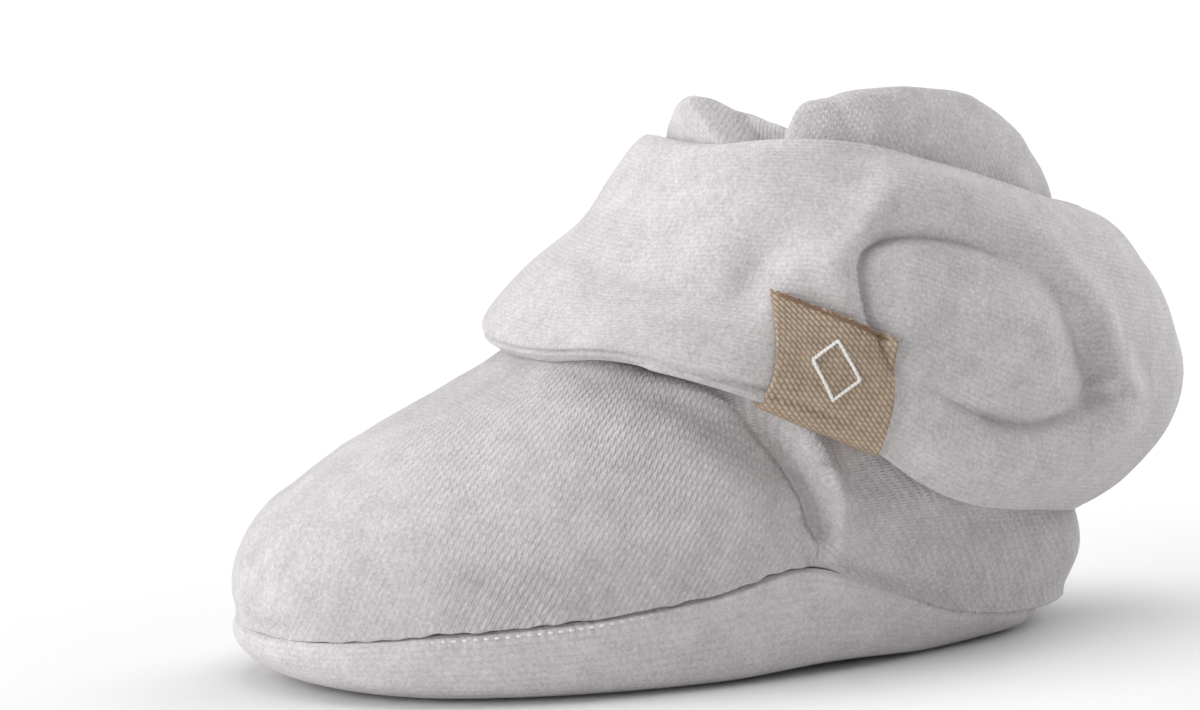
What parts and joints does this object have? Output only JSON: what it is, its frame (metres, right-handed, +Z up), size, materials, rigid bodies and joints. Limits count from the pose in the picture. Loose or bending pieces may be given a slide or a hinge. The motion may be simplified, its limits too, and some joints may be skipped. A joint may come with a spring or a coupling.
{
  "type": "baby bootie slipper",
  "caption": "Soft knitted baby bootie slipper with a padded sole, a domed vamp, a high collar and a wide puffed ankle wrap that carries a small woven tab.",
  "frame": {"origin": "on the floor, under the middle of the bounding box", "axes": "+X forward towards the toe, +Y towards the outer side of this left shoe, +Z up"},
  "size_m": [0.1216, 0.0569, 0.0652],
  "materials": {
    "sole_jersey": "matte knitted jersey, heathered pale grey",
    "lining_jersey": "matte knitted jersey, pale grey",
    "upper_jersey": "matte knitted jersey, heathered pale grey, wales along the foot",
    "strap_jersey": "matte knitted jersey, heathered pale grey",
    "wrap_jersey": "matte knitted jersey, heathered pale grey, wales round the ankle",
    "tab_weave": "matte coarse weave, tan"
  },
  "bodies": {
    "root": {"sole": "sole_jersey", "insole": "lining_jersey", "upper": "upper_jersey", "inner_strap": "strap_jersey", "ankle_wrap": "wrap_jersey", "woven_tab": "tab_weave"}
  },
  "joints": []
}
